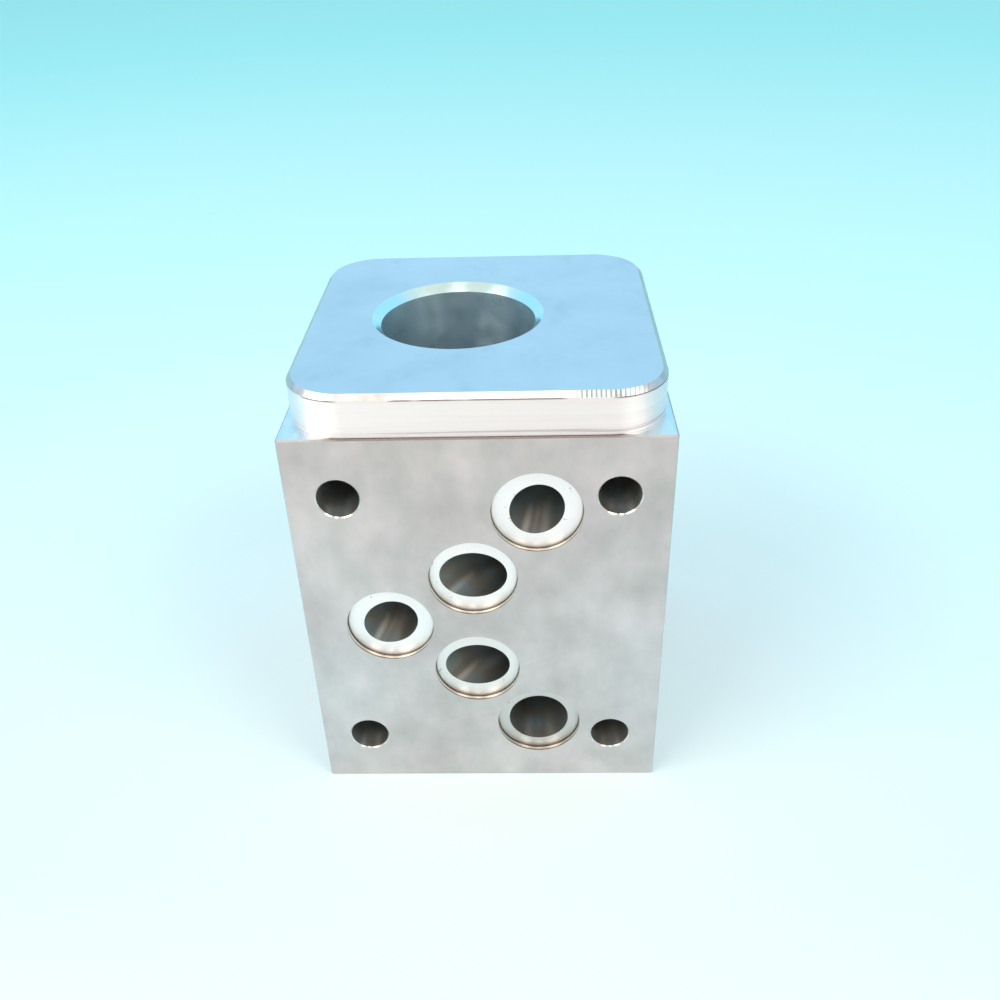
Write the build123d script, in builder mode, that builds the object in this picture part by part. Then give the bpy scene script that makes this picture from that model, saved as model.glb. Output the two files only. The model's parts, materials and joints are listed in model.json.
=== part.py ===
from build123d import *
import os
from math import asin, atan2, hypot, tan

# Hydraulic manifold block, machined from one piece of aluminium bar.
# All lengths are millimetres. The origin is the centre of the lower face, +Z is up,
# the port face with its seal seats looks along -Y and the cavity opens upwards.

# Block: a plain prism with every edge lightly broken
block_width = 63.5
block_depth = 63.5
block_height = 76.2
edge_break = 0.25

# Pad: the rounded land that is left standing on the upper face
pad_rise = 7.4
pad_side_inset = 1.0
pad_front_inset = 0.5
pad_rear_inset = 1.0
pad_corner_radius = 9.5
pad_chamfer = 0.85

# Cavity: the large blind bore that opens in the pad
cavity_x = -4.15
cavity_y = 0.65
cavity_diameter = 27.8
cavity_depth = 60.0
cavity_mouth_chamfer = 1.45
cavity_floor_radius = 0.8

# Port pattern: the size 05 valve interface, standing on its short side
bolt_spacing_x = 46.0
bolt_spacing_z = 54.0
bolt_hole_diameter = 7.14
bolt_hole_chamfer = 0.2
pressure_port_x = -16.7
work_port_x = -1.6
work_port_spacing = 20.6
tank_port_x = 9.5
tank_port_spacing = 47.6

# Seats: flat counterbores for the seal rings, on the port face only
seat_diameter = 15.4
seat_depth = 1.2

# Drillings: the work and upper tank passages bend round the cavity with this wall left
bypass_wall = 1.3
work_drill_diameter = 9.5
tank_drill_diameter = 9.0
tank_drill_rise = 12.0
pressure_drill_diameter = 9.0
pressure_drill_rise = 9.7
straight_tank_diameter = 11.1

# Places that follow from the sizes above
half_depth = block_depth / 2
seat_floor_y = -half_depth + seat_depth
pattern_height = block_height / 2
work_port_offset = work_port_spacing / 2
tank_port_offset = tank_port_spacing / 2
pad_top = block_height + pad_rise
pad_width = block_width - 2 * pad_side_inset
pad_depth = block_depth - pad_front_inset - pad_rear_inset
pad_centre_y = (pad_front_inset - pad_rear_inset) / 2


def bypass_x(port_x, drill_diameter):
    """X where a passage from port_x turns back beside the cavity, on the block's middle plane.

    The rear drilling's axis keeps the cavity's radius, the wall and its own radius from
    the cavity's axis. The front one starts lower in its seat and keeps a little more.
    """
    clear_distance = cavity_diameter / 2 + bypass_wall + drill_diameter / 2
    across = cavity_x - port_x
    along = half_depth - cavity_y
    angle = asin(clear_distance / hypot(across, along)) + atan2(across, along)
    return port_x + half_depth * tan(angle)


# Each angled passage: port X, port Z, diameter and the point where its two drillings meet
work_meeting_x = bypass_x(work_port_x, work_drill_diameter)
tank_meeting_x = bypass_x(tank_port_x, tank_drill_diameter)
upper_work_z = pattern_height + work_port_offset
lower_work_z = pattern_height - work_port_offset
upper_tank_z = pattern_height + tank_port_offset
lower_tank_z = pattern_height - tank_port_offset
angled_passages = [
    (
        work_port_x,
        upper_work_z,
        work_drill_diameter,
        Vector(work_meeting_x, 0, upper_work_z),
    ),
    (
        work_port_x,
        lower_work_z,
        work_drill_diameter,
        Vector(work_meeting_x, 0, lower_work_z),
    ),
    (
        tank_port_x,
        upper_tank_z,
        tank_drill_diameter,
        Vector(tank_meeting_x, 0, upper_tank_z + tank_drill_rise),
    ),
    (
        pressure_port_x,
        pattern_height,
        pressure_drill_diameter,
        Vector(cavity_x, cavity_y, pattern_height + pressure_drill_rise),
    ),
]

# Port face seen from outside: its own X runs with the block's X and its own Y with Z
port_face = Plane(origin=(0, -half_depth, pattern_height), x_dir=(1, 0, 0), z_dir=(0, -1, 0))
port_places = [
    (pressure_port_x, 0),
    (work_port_x, work_port_offset),
    (work_port_x, -work_port_offset),
    (tank_port_x, tank_port_offset),
    (tank_port_x, -tank_port_offset),
]

with BuildPart() as manifold_block:
    # The sawn and milled block
    with BuildSketch():
        Rectangle(block_width, block_depth)
    extrude(amount=block_height)
    chamfer(manifold_block.edges(), length=edge_break)

    # The raised pad and the chamfer round its top
    with BuildSketch(Plane.XY.offset(block_height)):
        with Locations((0, pad_centre_y)):
            RectangleRounded(pad_width, pad_depth, pad_corner_radius)
    extrude(amount=pad_rise)
    chamfer(manifold_block.faces().sort_by(Axis.Z)[-1].edges(), length=pad_chamfer)

    # The cavity, turned out of the solid with its mouth chamfer and rounded floor corner
    with BuildSketch(Plane(origin=(cavity_x, cavity_y, pad_top), x_dir=(1, 0, 0), z_dir=(0, -1, 0))):
        with BuildLine():
            mouth_radius = cavity_diameter / 2 + cavity_mouth_chamfer
            floor = Polyline(
                (0, 0),
                (mouth_radius, 0),
                (cavity_diameter / 2, -cavity_mouth_chamfer),
                (cavity_diameter / 2, -cavity_depth + cavity_floor_radius),
            )
            corner = JernArc(
                start=floor @ 1,
                tangent=(0, -1),
                radius=cavity_floor_radius,
                arc_size=-90,
            )
            Polyline(corner @ 1, (0, -cavity_depth), (0, 0))
        make_face()
    revolve(axis=Axis((cavity_x, cavity_y, 0), (0, 0, 1)), mode=Mode.SUBTRACT)

    # Four through holes for the stack bolts
    with Locations(port_face):
        with GridLocations(bolt_spacing_x, bolt_spacing_z, 2, 2):
            Hole(bolt_hole_diameter / 2)
    chamfer(
        manifold_block.edges(Select.LAST).filter_by(GeomType.CIRCLE),
        length=bolt_hole_chamfer,
    )

    # Five seal seats
    with Locations(port_face):
        with Locations(*port_places):
            Hole(seat_diameter / 2, depth=seat_depth)

    # The lower tank passage runs straight through, under the cavity
    with Locations(port_face):
        with Locations((tank_port_x, -tank_port_offset)):
            Hole(straight_tank_diameter / 2)

    # The others are drilled from the seats and from the rear face until they meet
    for port_x, port_z, diameter, meeting in angled_passages:
        for start_y in (seat_floor_y, half_depth):
            mouth = Vector(port_x, start_y, port_z)
            run = meeting - mouth
            lead_in = run.normalized() * diameter
            with BuildSketch(Plane(origin=mouth - lead_in, z_dir=run)):
                Circle(diameter / 2)
            extrude(amount=run.length + diameter, mode=Mode.SUBTRACT)

manifold_block.part.label = "manifold_block"

os.makedirs("parts", exist_ok=True)
export_step(manifold_block.part, "parts/manifold_block.step")
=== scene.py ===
import json

import bpy
from mathutils import Matrix, Vector


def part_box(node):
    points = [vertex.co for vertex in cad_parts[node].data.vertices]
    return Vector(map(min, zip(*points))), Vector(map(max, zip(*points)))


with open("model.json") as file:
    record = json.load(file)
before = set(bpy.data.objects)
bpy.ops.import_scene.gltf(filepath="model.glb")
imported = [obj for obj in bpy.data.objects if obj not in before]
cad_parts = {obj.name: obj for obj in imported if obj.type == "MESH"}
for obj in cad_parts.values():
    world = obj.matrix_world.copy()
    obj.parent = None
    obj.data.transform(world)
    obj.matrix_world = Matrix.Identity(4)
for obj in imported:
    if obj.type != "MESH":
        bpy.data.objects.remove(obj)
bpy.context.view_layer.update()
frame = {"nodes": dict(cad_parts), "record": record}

# The manifold block's looks: machined aluminium, with a finish for each kind of cut.
# Everything is in metres, in the row frame. The block stands on z = 0 and its port face
# looks along -Y.

MM = 0.001
UP = Vector((0.0, 0.0, 1.0))
INTO_FACE = Vector((0.0, 1.0, 0.0))

# The block, its box, and the mounts that say where its bores are
BLOCK = frame["nodes"]["manifold_block"]
LOW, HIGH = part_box("manifold_block")
MIDDLE = (LOW + HIGH) / 2
FRONT_Y = LOW.y
MOUNTS = {mount["name"]: mount for mount in frame["record"]["mounts"]}
BORES = {name: mount for name, mount in MOUNTS.items() if mount["kind"] == "bore"}
CAVITY = Vector(MOUNTS["cartridge_cavity"]["pos_m"])

# Sizes that tell the faces apart
SEAT_RADIUS = 7.7 * MM
SEAT_DEPTH = 1.2 * MM
SEAT_REACH = 2 * MM  # no seat goes deeper into the port face
SEAT_MARGIN = 0.3 * MM
BOLT_MARGIN = 0.5 * MM  # more than the broken edge of a bolt hole
LEDGE_MARGIN = 0.5 * MM  # more than the ledge lies above the port face
EDGE_MARGIN = MM  # more than the block's broken edges
CAVITY_REACH = 17 * MM  # past the cavity's mouth, short of the pad's edge
ON_FACE = 0.02 * MM  # nearer than this counts as on a plane or a round wall
STRAIGHT = 0.999  # a normal with this much along an axis points straight along it
SQUARE = 0.01  # a normal with less than this along an axis is square to it
SLOPING = 0.5  # a normal with more than this along an axis leans toward it

# Most of a noise's values lie between these
NOISE_LOW = 0.3
NOISE_HIGH = 0.7

# Bored walls: colour, roughness, length of a tool mark and, where there is one, the brown, a
# painted reflection of warm light
WARM_BROWN = (0.25, 0.23, 0.185)
# The cavity's colour is darker and bluer than clean aluminium: painted shade of the hollow and a
# painted reflection of the blue behind the block.
SHADED_BLUE_CAVITY_WALL = ((0.43, 0.60, 0.67), 0.33, 0.12 * MM)
# The drillings' and the bolt holes' colours are darker than clean aluminium: painted shade of the
# hollows.
SHADED_DRILLED_WALL = ((0.20, 0.25, 0.265), 0.42, 0.25 * MM, WARM_BROWN)
SHADED_BOLT_HOLE_WALL = ((0.25, 0.29, 0.30), 0.40, 0.25 * MM, WARM_BROWN)
BOLT_HOLE_EDGE = ((0.80, 0.80, 0.78), 0.25, 0.15 * MM)

# The seats' floors get whiter with their height on the face, up to plain white
SEAT_WHITENESS = 0.44
SEAT_WHITENESS_RISE = 0.68

# The chatter on the pad's front chamfer, measured back from the block's right side
CHATTER_START = 17 * MM
CHATTER_FULL = 15 * MM
CHATTER_FADE = 7 * MM
CHATTER_END = 4 * MM
CHATTER_RADIAN = 0.118 * MM  # the ticks are 2 pi of these apart, 0.74 mm
CHATTER_WANDER = 0.9 * MM

# The patch of the port face that is scratched
SCRATCH_CENTRE = (12 * MM, FRONT_Y, 38 * MM)
SCRATCH_FULL = 7 * MM
SCRATCH_END = 14 * MM
SCRATCH_TILT = 0.42

# Camera: above the port face, a little to its right
CAMERA_PLACE = Vector((0.0085, -0.1674, 0.1533))
CAMERA_FORWARD = Vector((-0.0309, 0.8366, -0.5470))
CAMERA_UP = Vector((0.0122, 0.5475, 0.8368))
CAMERA_LENS_MM = 35.95
CAMERA_SENSOR_MM = 36.0

# Soft panels: the way to each from the block, its width, its height and its watts.
# Two wide ones stand in front to the left and right, with a small one between them.
PANEL_DISTANCE = 0.9
PANEL_COLOUR = (1.0, 0.93, 0.86)
PANELS = {
    "left_panel": (Vector((-0.64, -0.44, 0.68)), 0.72, 0.4, 4.0),
    "right_panel": (Vector((0.56, -0.44, 0.72)), 0.45, 0.35, 2.5),
    "middle_panel": (Vector((0.0, -0.55, 0.84)), 0.16, 0.3, 0.8),
}

# Floor: pale by the block and cyan far off, with a painted pool of warm light in front that the
# port face mirrors. The painted pool comes in with Y, goes out with distance and is brighter on
# its left.
FLOOR_HALF = 3.0
FLOOR_ROUGHNESS = 0.8
FLOOR_NEAR = 0.05
FLOOR_FAR = 0.9
FLOOR_COLOURS = [(0.0, (0.70, 0.84, 0.85)), (0.2, (0.56, 0.91, 0.92)), (1.0, (0.40, 0.97, 0.97))]
LIT_PATCH_COLOURS = [(0.0, (0.97, 0.90, 0.87)), (0.5, (0.77, 0.70, 0.67)), (1.0, (0.80, 0.73, 0.72))]
PATCH_LEFT = -0.12
PATCH_RIGHT = 0.06
PATCH_START_Y = -0.055
PATCH_FULL_Y = -0.15
PATCH_FADE_REACH = 0.25
PATCH_END_REACH = 0.7

# World: warm grey in front, and blue behind by height above the horizon
WORLD_STRENGTH = 1.15
WORLD_FRONT = (0.68, 0.62, 0.58)
WORLD_FRONT_Y = -0.15
WORLD_BEHIND_Y = 0.35
WORLD_BEHIND = [
    (0.0, (0.50, 0.74, 0.78)),
    (0.3, (0.40, 0.72, 0.97)),
    (0.7, (0.40, 0.72, 0.97)),
    (1.0, (0.50, 0.65, 0.75)),
]


# ---------------------------------------------------------------- node helpers


class Nodes:
    """A short way to write a material's or world's node tree."""

    MIX_A, MIX_B, MIX_COLOUR = 6, 7, 2  # a Mix node's colour sockets, which share their names

    def __init__(self, tree):
        self.tree = tree
        tree.nodes.clear()

    def add(self, kind, inputs=None, **settings):
        """A node with its settings and its inputs, each a value or another node's socket."""
        node = self.tree.nodes.new(kind)
        for name, value in settings.items():
            setattr(node, name, value)
        for name, value in (inputs or {}).items():
            socket = node.inputs[name]
            if isinstance(value, bpy.types.NodeSocket):
                self.tree.links.new(value, socket)
            else:
                socket.default_value = value
        return node

    def math(self, operation, a, b=0.0):
        return self.add("ShaderNodeMath", {0: a, 1: b}, operation=operation).outputs[0]

    def times(self, first, *others):
        """All these numbers multiplied."""
        for other in others:
            first = self.math("MULTIPLY", first, other)
        return first

    def vector(self, operation, a, b=(0.0, 0.0, 0.0)):
        node = self.add("ShaderNodeVectorMath", {0: a, 1: b}, operation=operation)
        return node.outputs["Value" if operation in ("LENGTH", "DOT_PRODUCT") else "Vector"]

    def place(self):
        """The point's place in the row frame, in metres."""
        return self.add("ShaderNodeTexCoord").outputs["Object"]

    def parts(self, vector):
        """The X, Y and Z of a vector."""
        return self.add("ShaderNodeSeparateXYZ", {"Vector": vector}).outputs

    def arm(self, place, centre, keep=(1.0, 1.0, 1.0)):
        """The way from a centre to the place, in the directions that keep holds 1 for."""
        return self.vector("MULTIPLY", self.vector("SUBTRACT", place, tuple(centre)), keep)

    def noise(self, place, scale, stretch=(1.0, 1.0, 1.0), detail=3.0, roughness=0.5):
        """Noise with so many grains to the metre, drawn out where stretch is under 1."""
        spread = self.vector("MULTIPLY", place, stretch)
        node = self.add(
            "ShaderNodeTexNoise",
            {"Vector": spread, "Scale": scale, "Detail": detail, "Roughness": roughness},
        )
        return node.outputs["Fac"]

    def rings(self, reach, pitch):
        """Tool marks: noise that changes only with reach, at so much a mark."""
        node = self.add(
            "ShaderNodeTexNoise",
            {"W": self.math("DIVIDE", reach, pitch), "Scale": 1.0, "Detail": 2.0},
            noise_dimensions="1D",
        )
        return node.outputs["Fac"]

    def ramp(self, factor, stops):
        """A colour ramp through (position, colour) stops."""
        node = self.add("ShaderNodeValToRGB", {"Fac": factor})
        elements = node.color_ramp.elements
        while len(elements) < len(stops):
            elements.new(1.0)
        for element, (position, colour) in zip(elements, stops):
            element.position = position
            element.color = (*colour, 1.0)
        return node.outputs["Color"]

    def mix(self, factor, a, b, blend="MIX"):
        """Colour a where the factor is 0, and where it is 1 b, or a blended with b."""
        a, b = (c if isinstance(c, bpy.types.NodeSocket) else (*c, 1.0) for c in (a, b))
        inputs = {0: factor, self.MIX_A: a, self.MIX_B: b}
        node = self.add("ShaderNodeMix", inputs, data_type="RGBA", blend_type=blend)
        return node.outputs[self.MIX_COLOUR]

    def shaded(self, colour, shade):
        """A colour multiplied by another."""
        return self.mix(1.0, colour, shade, "MULTIPLY")

    def span(self, value, from_low, from_high, to_low=0.0, to_high=1.0):
        """value carried from one range to another, and held inside it."""
        node = self.add(
            "ShaderNodeMapRange",
            {
                "Value": value,
                "From Min": from_low,
                "From Max": from_high,
                "To Min": to_low,
                "To Max": to_high,
            },
        )
        return node.outputs["Result"]

    def vary(self, noise, at_low, at_high):
        """A number that follows a noise from one value to another."""
        return self.span(noise, NOISE_LOW, NOISE_HIGH, at_low, at_high)

    def bump(self, height, strength, distance):
        inputs = {"Height": height, "Strength": strength, "Distance": distance}
        return self.add("ShaderNodeBump", inputs).outputs["Normal"]

    def along(self, axis):
        """The way along the surface that lies nearest the axis."""
        normal = self.add("ShaderNodeNewGeometry").outputs["Normal"]
        across = self.vector("CROSS_PRODUCT", tuple(axis), normal)
        return self.vector("CROSS_PRODUCT", normal, across)


def grey(value):
    return (value, value, value)


def new_metal(name, finish, *details):
    """A metal material. finish(nodes, *details) gives the Principled shader's inputs."""
    material = bpy.data.materials.new(name)
    material.use_nodes = True
    nodes = Nodes(material.node_tree)
    inputs = {"Metallic": 1.0, **finish(nodes, *details)}
    shader = nodes.add("ShaderNodeBsdfPrincipled", inputs)
    nodes.add("ShaderNodeOutputMaterial", {"Surface": shader.outputs["BSDF"]})
    return material


# ---------------------------------------------------------------- finishes


def scratches(nodes, place):
    """Thin broken scratches that climb to the right: 1 on a scratch and 0 off it."""
    turned = nodes.add(
        "ShaderNodeVectorRotate", {"Vector": place, "Angle": SCRATCH_TILT}, rotation_type="Y_AXIS"
    )
    lines = nodes.noise(turned.outputs["Vector"], 520.0, (0.02, 0.02, 1.0), detail=1.0)
    broken = nodes.noise(turned.outputs["Vector"], 110.0, detail=1.0)
    off_centre = nodes.vector("LENGTH", nodes.vector("SUBTRACT", place, SCRATCH_CENTRE))
    return nodes.times(
        nodes.span(lines, 0.64, 0.70),
        nodes.span(broken, 0.44, 0.56),
        nodes.span(off_centre, SCRATCH_END, SCRATCH_FULL),
    )


def milled_side(nodes, face_top_z):
    """The block's plain faces: a dull fine grain, cloudy handling marks and thin scratches."""
    place = nodes.place()
    cloud = nodes.noise(place, 60.0, detail=5.0, roughness=0.62)
    blotch = nodes.noise(place, 190.0, (1.0, 1.0, 0.6), detail=3.0)
    grain = nodes.noise(place, 2600.0, (1.0, 1.0, 0.2), detail=2.0)
    height = nodes.span(nodes.parts(place)["Z"], 0.0, face_top_z)
    tint = nodes.ramp(height, [(0.0, (0.67, 0.64, 0.65)), (1.0, (0.63, 0.60, 0.585))])
    cloudy = nodes.ramp(cloud, [(0.3, grey(0.83)), (0.5, grey(0.95)), (0.7, grey(1.06))])
    blotchy = nodes.ramp(blotch, [(0.3, (0.89, 0.92, 0.91)), (0.7, (1.07, 1.04, 1.06))])
    shade = nodes.shaded(nodes.shaded(tint, cloudy), blotchy)
    return {
        "Base Color": nodes.mix(nodes.times(scratches(nodes, place), 0.4), shade, grey(0.92)),
        "Roughness": nodes.vary(cloud, 0.48, 0.36),
        "Normal": nodes.bump(grain, 0.3, 0.02 * MM),
    }


def pad_top(nodes):
    """The pad's upper face: face-milled smooth, with faint broad cutter arcs."""
    place = nodes.place()
    cloud = nodes.noise(place, 60.0, detail=4.0, roughness=0.6)
    stain = nodes.noise(place, 160.0, (1.0, 0.5, 1.0), detail=3.0)
    cutter = nodes.vector("SUBTRACT", place, (HIGH.x + 40 * MM, 0.0, HIGH.z))
    arcs = nodes.rings(nodes.vector("LENGTH", cutter), 0.5 * MM)
    shade = nodes.ramp(cloud, [(0.3, (0.72, 0.75, 0.77)), (0.5, grey(0.81)), (0.7, grey(0.86))])
    stained = nodes.ramp(stain, [(0.32, (0.93, 0.95, 0.95)), (0.42, grey(1.0))])
    return {
        "Base Color": nodes.shaded(shade, stained),
        "Roughness": nodes.vary(cloud, 0.26, 0.20),
        "Normal": nodes.bump(arcs, 0.06, 0.01 * MM),
    }


def pad_wall(nodes, face_top_z, chamfer_z):
    """The pad's side, cut by an end mill: level streaks, with a line of painted shade at its foot
    and a painted dark reflection along its top.
    """
    place = nodes.place()
    height = nodes.parts(place)["Z"]
    streaks = nodes.noise(place, 800.0, (0.012, 0.012, 1.0), detail=4.0, roughness=0.7)
    wander = nodes.noise(place, 90.0, (1.0, 1.0, 0.1), detail=2.0)
    shade = nodes.ramp(
        streaks,
        [(0.34, (0.70, 0.66, 0.68)), (0.42, (0.93, 0.90, 0.90)), (0.7, (0.97, 0.96, 0.97))],
    )
    # Painted shade at the foot, in the corner with the ledge, and a painted dark reflection along
    # the top edge
    foot = nodes.span(height, face_top_z + 0.12 * MM, face_top_z + 0.35 * MM)
    top = nodes.span(height, chamfer_z - 0.12 * MM, chamfer_z - 0.30 * MM)
    top = nodes.math("MAXIMUM", top, nodes.span(wander, 0.52, 0.46))
    lines = nodes.ramp(nodes.times(foot, top), [(0.0, (0.30, 0.24, 0.22)), (1.0, grey(1.0))])
    return {
        "Base Color": nodes.shaded(shade, lines),
        "Roughness": nodes.vary(streaks, 0.66, 0.54),
        "Anisotropic": 0.8,
        "Tangent": nodes.along(UP),
        "Normal": nodes.bump(streaks, 0.3, 0.03 * MM),
    }


def pad_chamfer(nodes):
    """The chamfer round the pad, cut bright, with the cutter's chatter at one end in front."""
    place = nodes.place()
    parts = nodes.parts(place)
    across = parts["X"]
    cloud = nodes.noise(place, 400.0, detail=2.0)
    beat = nodes.math("SINE", nodes.math("DIVIDE", across, CHATTER_RADIAN))
    ticks = nodes.span(nodes.math("ADD", beat, nodes.rings(across, CHATTER_WANDER)), 0.6, 1.0)
    where = nodes.times(
        nodes.span(across, HIGH.x - CHATTER_START, HIGH.x - CHATTER_FULL),
        nodes.span(across, HIGH.x - CHATTER_END, HIGH.x - CHATTER_FADE),
        nodes.math("LESS_THAN", parts["Y"], MIDDLE.y),
    )
    shade = nodes.ramp(cloud, [(0.3, grey(0.50)), (0.7, grey(0.68))])
    return {
        "Base Color": nodes.mix(nodes.times(ticks, where), shade, (0.20, 0.28, 0.32)),
        "Roughness": nodes.vary(cloud, 0.30, 0.38),
    }


def mouth_chamfer(nodes):
    """The cavity's mouth chamfer, turned bright: fine rings round the cavity's axis, in a cyan
    that is a painted reflection of the blue behind the block.
    """
    place = nodes.place()
    arm = nodes.arm(place, CAVITY, (1.0, 1.0, 0.0))
    marks = nodes.rings(nodes.vector("LENGTH", arm), 0.12 * MM)
    cloud = nodes.noise(place, 300.0, detail=2.0)
    return {
        # Painted reflection: the cyan of the backdrop
        "Base Color": nodes.ramp(marks, [(0.3, (0.66, 0.97, 0.99)), (0.6, (0.76, 1.0, 1.0))]),
        "Roughness": nodes.vary(cloud, 0.16, 0.24),
    }


def ledge(nodes):
    """The narrow ledge round the pad's foot: bright at the corners, with painted shade in front,
    in its corner with the pad.
    """
    place = nodes.place()
    marks = nodes.noise(place, 700.0, (1.0, 0.3, 1.0), detail=3.0)
    shade = nodes.ramp(marks, [(0.3, (0.80, 0.90, 0.94)), (0.6, (0.95, 1.0, 1.0))])
    across = nodes.math("ABSOLUTE", nodes.parts(place)["X"])
    # Painted shade where the ledge meets the front of the pad
    corner_shade = nodes.times(
        nodes.span(nodes.parts(place)["Y"], FRONT_Y + 0.7 * MM, FRONT_Y + 0.6 * MM),
        nodes.span(across, HIGH.x - 6 * MM, HIGH.x - 9 * MM),
    )
    return {
        "Base Color": nodes.mix(corner_shade, shade, (0.16, 0.13, 0.12)),
        "Roughness": nodes.vary(marks, 0.24, 0.34),
    }


def broken_edge(nodes):
    """The block's upper edge, just broken with a file: duller, and darker under the pad with
    painted shade.
    """
    place = nodes.place()
    marks = nodes.noise(place, 900.0, detail=3.0)
    shade = nodes.ramp(marks, [(0.3, grey(0.34)), (0.6, grey(0.42))])
    across = nodes.math("ABSOLUTE", nodes.parts(place)["X"])
    # Painted shade: the edge is darker under the pad
    shade_under_pad = nodes.span(across, HIGH.x - 6 * MM, HIGH.x - 10 * MM)
    return {
        "Base Color": nodes.mix(shade_under_pad, shade, (0.22, 0.19, 0.18)),
        "Roughness": nodes.vary(marks, 0.44, 0.54),
    }


def seat_wall(nodes):
    """A seat's wall: polished between a painted dark reflection in a line at its rim and a line of
    painted shade at its foot.
    """
    place = nodes.place()
    depth = nodes.math("SUBTRACT", nodes.parts(place)["Y"], FRONT_Y)
    marks = nodes.rings(depth, 0.15 * MM)
    wander = nodes.noise(place, 300.0, detail=2.0)
    depth = nodes.math("ADD", depth, nodes.vary(wander, -0.06 * MM, 0.06 * MM))
    # Painted dark reflection near the rim, painted shade in the corner at the foot
    shade = nodes.ramp(
        nodes.span(depth, 0.0, SEAT_DEPTH),
        [
            (0.0, (0.16, 0.14, 0.11)),
            (0.14, (0.22, 0.19, 0.15)),
            (0.30, (0.86, 0.80, 0.66)),
            (0.56, (0.80, 0.74, 0.62)),
            (0.72, (0.12, 0.10, 0.08)),
            (1.0, (0.22, 0.19, 0.17)),
        ],
    )
    return {
        "Base Color": shade,
        "Roughness": nodes.vary(marks, 0.20, 0.28),
        "Anisotropic": 0.9,
        "Tangent": nodes.along(INTO_FACE),
    }


def seat_floor(nodes, centre, whiteness):
    """A seat's floor, faced by a turning cutter: rings that spread the light out from the port.

    A dark line of painted shade lies in its corner with the wall.
    """
    place = nodes.place()
    arm = nodes.arm(place, centre, (1.0, 0.0, 1.0))
    marks = nodes.rings(nodes.vector("LENGTH", arm), 0.22 * MM)
    specks = nodes.noise(place, 900.0, detail=2.0)
    shade = nodes.ramp(marks, [(0.3, grey(0.95 * whiteness)), (0.6, grey(whiteness))])
    specked = nodes.ramp(specks, [(0.24, grey(0.6)), (0.30, grey(1.0))])
    reach = nodes.vector("LENGTH", arm)
    # Painted shade in the corner with the wall
    corner = nodes.span(reach, SEAT_RADIUS - 0.28 * MM, SEAT_RADIUS - 0.08 * MM)
    return {
        "Base Color": nodes.mix(corner, nodes.shaded(shade, specked), (0.24, 0.21, 0.18)),
        "Roughness": nodes.vary(specks, 0.40, 0.44),
        "Anisotropic": 0.7,
        "Tangent": nodes.vector("NORMALIZE", arm),
        "Normal": nodes.bump(marks, 0.15, 0.01 * MM),
    }


def bored(nodes, axis, colour, roughness, pitch, stain=None):
    """A bored wall: rings of tool marks across the axis, which draw the light out along it."""
    place = nodes.place()
    marks = nodes.rings(nodes.vector("DOT_PRODUCT", place, tuple(axis)), pitch)
    cloud = nodes.noise(place, 240.0, detail=3.0)
    dark = tuple(0.82 * channel for channel in colour)
    shade = nodes.ramp(marks, [(0.3, dark), (0.65, colour)])
    # The brown, where there is one, is a painted reflection of warm light, laid on in patches by a
    # noise
    if stain is not None:
        shade = nodes.mix(nodes.span(cloud, 0.4, 0.6, 0.0, 0.8), shade, stain)
    return {
        "Base Color": shade,
        "Metallic": 0.8,
        "Roughness": nodes.vary(cloud, roughness + 0.06, roughness - 0.06),
        "Anisotropic": 0.9,
        "Tangent": nodes.along(axis),
        "Normal": nodes.bump(marks, 0.2, 0.01 * MM),
    }


# ---------------------------------------------------------------- which finish goes where


def on_bore(mount, corners):
    """True if all these corners lie on the mount's round wall."""
    centre, axis = Vector(mount["pos_m"]), Vector(mount["axis"]).normalized()
    radius = mount["dims"]["r_mm"] * MM
    half_length = mount["dims"]["length_mm"] * MM / 2 + EDGE_MARGIN
    for corner in corners:
        arm = corner - centre
        along = arm.dot(axis)
        if abs((arm - axis * along).length - radius) > ON_FACE or abs(along) > half_length:
            return False
    return True


def in_bolt_hole(place):
    """True inside one of the four bolt holes, their broken edges included."""
    bolts = MOUNTS["stack_bolts"]
    centre, dims = Vector(bolts["pos_m"]), bolts["dims"]
    across = abs(abs(place.x - centre.x) - dims["spacing_x_mm"] * MM / 2)
    up = abs(abs(place.z - centre.z) - dims["spacing_y_mm"] * MM / 2)
    return max(across, up) < dims["hole_r_mm"] * MM + BOLT_MARGIN


def top_of(polygons):
    """The Z of these polygons' highest corner."""
    return max(BLOCK.data.vertices[i].co.z for polygon in polygons for i in polygon.vertices)


def heights():
    """The Z of the port face's top, just under the ledge, and of the foot of the pad's chamfer."""
    forward = [p for p in BLOCK.data.polygons if p.normal.y < -STRAIGHT]
    face_top_z = top_of([p for p in forward if abs(p.center.y - FRONT_Y) < ON_FACE])
    above = [p for p in forward if p.center.z > face_top_z + EDGE_MARGIN and p.center.y < 0]
    return face_top_z, top_of(above)


def axis_of(polygons):
    """The axis of a round wall: square to its first normal and to the one most unlike it."""
    first = polygons[0].normal
    crosses = [first.cross(polygon.normal) for polygon in polygons]
    return max(crosses, key=lambda cross: cross.length).normalized()


def seat_centres(face_top_z):
    """The seats' centres: each piece of a seat's wall faces one, a seat's radius away."""
    centres = []
    for polygon in BLOCK.data.polygons:
        in_seat = FRONT_Y < polygon.center.y < FRONT_Y + SEAT_REACH
        if abs(polygon.normal.y) > SQUARE or not in_seat:
            continue
        centre = polygon.center + polygon.normal * SEAT_RADIUS
        on_port_face = (
            LOW.x + SEAT_RADIUS < centre.x < HIGH.x - SEAT_RADIUS
            and centre.z < face_top_z - SEAT_RADIUS
        )
        if on_port_face and all((centre - known).length > SEAT_RADIUS for known in centres):
            centres.append(centre)
    return centres


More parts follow.
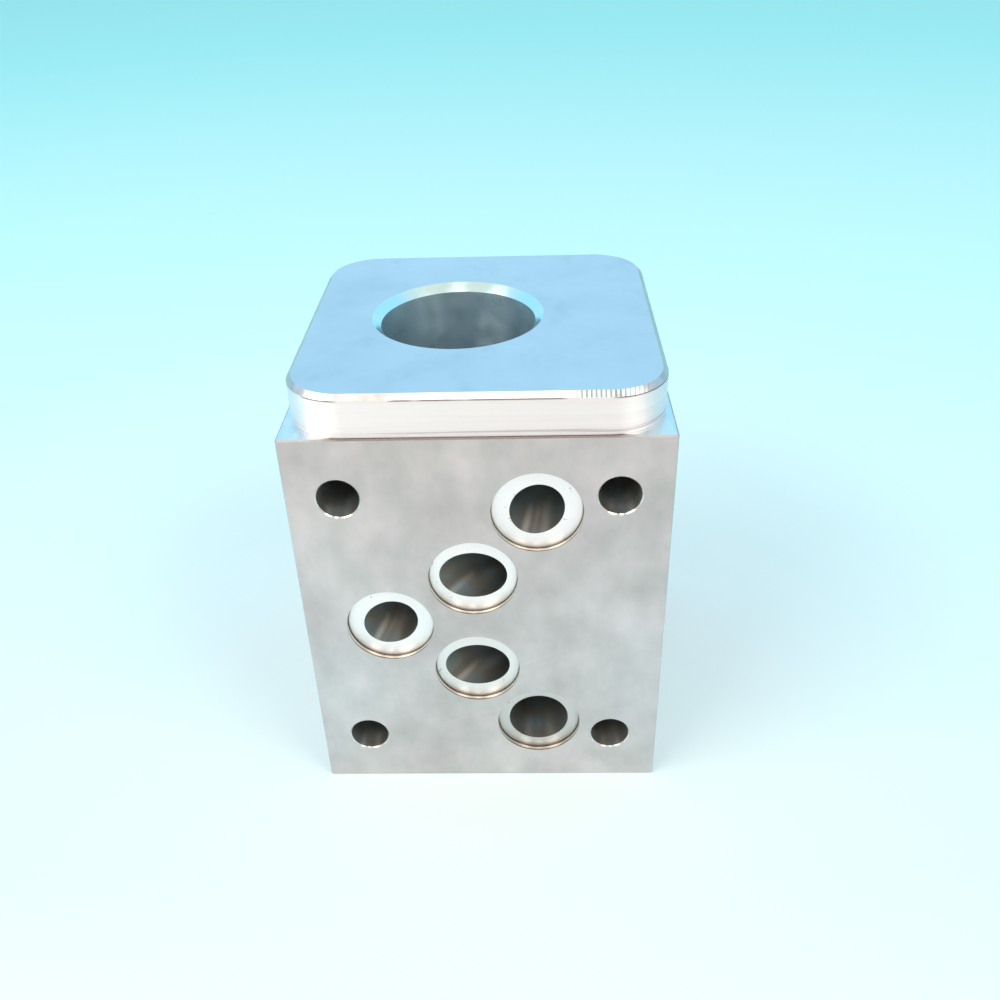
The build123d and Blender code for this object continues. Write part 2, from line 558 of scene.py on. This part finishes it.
def finish_of(polygon, corners, face_top_z, seats):
    """The name of the finish for one face of the block's mesh.

    The cavity's floor and its corner fall in with the pressure drillings, front and rear.
    """
    centre, normal = polygon.center, polygon.normal
    for name, mount in BORES.items():
        if on_bore(mount, corners):
            return name
    if centre.z > face_top_z + LEDGE_MARGIN:
        if normal.z > STRAIGHT:
            return "pad_top"
        if abs(normal.z) < SQUARE:
            return "pad_wall"
        return "mouth_chamfer" if (centre - CAVITY).xy.length < CAVITY_REACH else "pad_chamfer"
    if normal.y < -STRAIGHT and centre.y > FRONT_Y + ON_FACE:
        nearest = min(range(len(seats)), key=lambda i: (seats[i] - centre).length)
        return f"seat_floor_{nearest}"
    inside = (
        LOW.x + EDGE_MARGIN < centre.x < HIGH.x - EDGE_MARGIN
        and LOW.y + ON_FACE < centre.y < HIGH.y - ON_FACE
        and EDGE_MARGIN < centre.z < face_top_z - EDGE_MARGIN
    )
    if inside:
        reach = min((seat - centre).xz.length for seat in seats)
        if centre.y < FRONT_Y + SEAT_REACH and abs(reach - SEAT_RADIUS) < SEAT_MARGIN:
            return "seat_wall"
        if in_bolt_hole(centre):
            return "bolt_hole" if abs(normal.y) < SQUARE else "hole_edge"
        return "pressure_drilling_front" if centre.y < MIDDLE.y else "pressure_drilling_rear"
    if centre.z > face_top_z - EDGE_MARGIN and normal.z > SLOPING:
        return "ledge" if normal.z > STRAIGHT else "broken_edge"
    return "milled_side"


def dress_block():
    """Gives each face of the block its finish."""
    mesh = BLOCK.data
    face_top_z, chamfer_z = heights()
    seats = seat_centres(face_top_z)
    names = []
    for polygon in mesh.polygons:
        corners = [mesh.vertices[i].co for i in polygon.vertices]
        names.append(finish_of(polygon, corners, face_top_z, seats))

    # Each finish's function and what it is given
    finishes = {
        "milled_side": (milled_side, face_top_z),
        "pad_top": (pad_top,),
        "pad_wall": (pad_wall, face_top_z, chamfer_z),
        "pad_chamfer": (pad_chamfer,),
        "mouth_chamfer": (mouth_chamfer,),
        "ledge": (ledge,),
        "broken_edge": (broken_edge,),
        "seat_wall": (seat_wall,),
        "hole_edge": (bored, INTO_FACE, *BOLT_HOLE_EDGE),
        "bolt_hole": (bored, INTO_FACE, *SHADED_BOLT_HOLE_WALL),
        "cartridge_cavity": (bored, UP, *SHADED_BLUE_CAVITY_WALL),
    }
    for number, centre in enumerate(seats):
        whiteness = min(1.0, SEAT_WHITENESS + SEAT_WHITENESS_RISE * centre.z / MIDDLE.z)
        finishes[f"seat_floor_{number}"] = (seat_floor, centre, whiteness)
    for name in sorted(set(names) - set(finishes)):
        if name in BORES:
            axis = Vector(BORES[name]["axis"]).normalized()
        else:
            axis = axis_of([p for p, found in zip(mesh.polygons, names) if found == name])
        finishes[name] = (bored, axis, *SHADED_DRILLED_WALL)

    mesh.materials.clear()
    order = list(finishes)
    for name, (finish, *details) in finishes.items():
        mesh.materials.append(new_metal(name, finish, *details))
    for polygon, name in zip(mesh.polygons, names):
        polygon.material_index = order.index(name)


# ---------------------------------------------------------------- stage


def make_floor():
    """A wide floor, coloured as its constants say, with a painted pool of warm light in front of
    the block.
    """
    signs = ((-1, -1), (1, -1), (1, 1), (-1, 1))
    corners = [(x * FLOOR_HALF, y * FLOOR_HALF, 0.0) for x, y in signs]
    mesh = bpy.data.meshes.new("floor")
    mesh.from_pydata(corners, [], [(0, 1, 2, 3)])
    floor = bpy.data.objects.new("floor", mesh)
    bpy.context.scene.collection.objects.link(floor)
    material = bpy.data.materials.new("pale_floor")
    material.use_nodes = True
    nodes = Nodes(material.node_tree)
    place = nodes.place()
    parts = nodes.parts(place)
    reach = nodes.vector("LENGTH", place)
    plain = nodes.ramp(nodes.span(reach, FLOOR_NEAR, FLOOR_FAR), FLOOR_COLOURS)
    # A painted pool of warm light, brighter on its left
    patch = nodes.ramp(nodes.span(parts["X"], PATCH_LEFT, PATCH_RIGHT), LIT_PATCH_COLOURS)
    in_lit_patch = nodes.times(
        nodes.span(parts["Y"], PATCH_START_Y, PATCH_FULL_Y),
        nodes.span(reach, PATCH_END_REACH, PATCH_FADE_REACH),
    )
    inputs = {"Base Color": nodes.mix(in_lit_patch, plain, patch), "Roughness": FLOOR_ROUGHNESS}
    shader = nodes.add("ShaderNodeBsdfPrincipled", inputs)
    nodes.add("ShaderNodeOutputMaterial", {"Surface": shader.outputs["BSDF"]})
    mesh.materials.append(material)


def make_world():
    """Soft light from all round."""
    world = bpy.data.worlds.new("studio")
    world.use_nodes = True
    nodes = Nodes(world.node_tree)
    parts = nodes.parts(nodes.add("ShaderNodeTexCoord").outputs["Generated"])
    behind = nodes.ramp(nodes.span(parts["Z"], 0.0, 1.0), WORLD_BEHIND)
    backward = nodes.span(parts["Y"], WORLD_FRONT_Y, WORLD_BEHIND_Y)
    inputs = {"Color": nodes.mix(backward, WORLD_FRONT, behind), "Strength": WORLD_STRENGTH}
    background = nodes.add("ShaderNodeBackground", inputs)
    nodes.add("ShaderNodeOutputWorld", {"Surface": background.outputs["Background"]})
    bpy.context.scene.world = world


def make_panel(name, way, width, height, power):
    """A soft panel out along a direction, facing the block's middle."""
    light = bpy.data.lights.new(name, "AREA")
    light.shape = "RECTANGLE"
    light.size, light.size_y = width, height
    light.energy = power
    light.color = PANEL_COLOUR
    lamp = bpy.data.objects.new(name, light)
    lamp.location = MIDDLE + way.normalized() * PANEL_DISTANCE
    lamp.rotation_euler = (-way).to_track_quat("-Z", "Y").to_euler()
    bpy.context.scene.collection.objects.link(lamp)


def make_camera():
    camera = bpy.data.cameras.new("camera")
    camera.lens = CAMERA_LENS_MM
    camera.sensor_width = CAMERA_SENSOR_MM
    camera.clip_start = MM
    mount = bpy.data.objects.new("camera", camera)
    right = CAMERA_FORWARD.cross(CAMERA_UP).normalized()
    up = right.cross(CAMERA_FORWARD).normalized()
    back = -CAMERA_FORWARD.normalized()
    turn = Matrix((right, up, back)).transposed().to_4x4()
    mount.matrix_world = Matrix.Translation(CAMERA_PLACE) @ turn
    bpy.context.scene.collection.objects.link(mount)
    bpy.context.scene.camera = mount


make_camera()
make_world()
make_floor()
for panel_name, panel in PANELS.items():
    make_panel(panel_name, *panel)
dress_block()
bpy.context.scene.view_settings.view_transform = "Standard"
